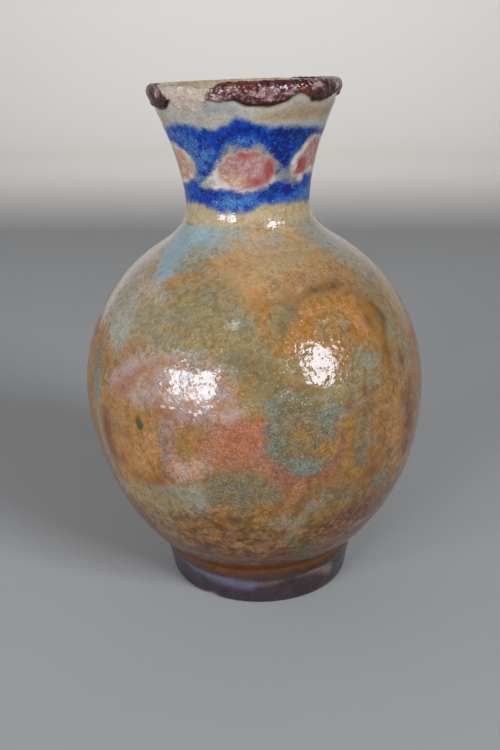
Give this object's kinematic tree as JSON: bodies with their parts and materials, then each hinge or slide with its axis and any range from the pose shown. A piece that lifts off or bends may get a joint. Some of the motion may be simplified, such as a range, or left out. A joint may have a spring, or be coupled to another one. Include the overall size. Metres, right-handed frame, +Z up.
{
  "type": "vase",
  "caption": "Small glazed pottery vase with a round body, short flaring neck, chipped lip and turned foot ring; stands on its foot, open and hollow.",
  "frame": {"origin": "on the ground, under the middle of the belly, which is the middle of the bounding box's base", "axes": "+Z up, the height of the pot; the front of the vase faces -Y; the body leans slightly towards -X"},
  "size_m": [0.1231, 0.123, 0.1816],
  "materials": {
    "glazed_pottery": "glossy crazed glaze in mottled ochre, sage, coral and blue-grey, a cobalt band with pink roundels on the neck, a dark lip and a lavender foot"
  },
  "bodies": {
    "root": {"vase": "glazed_pottery"}
  },
  "joints": []
}
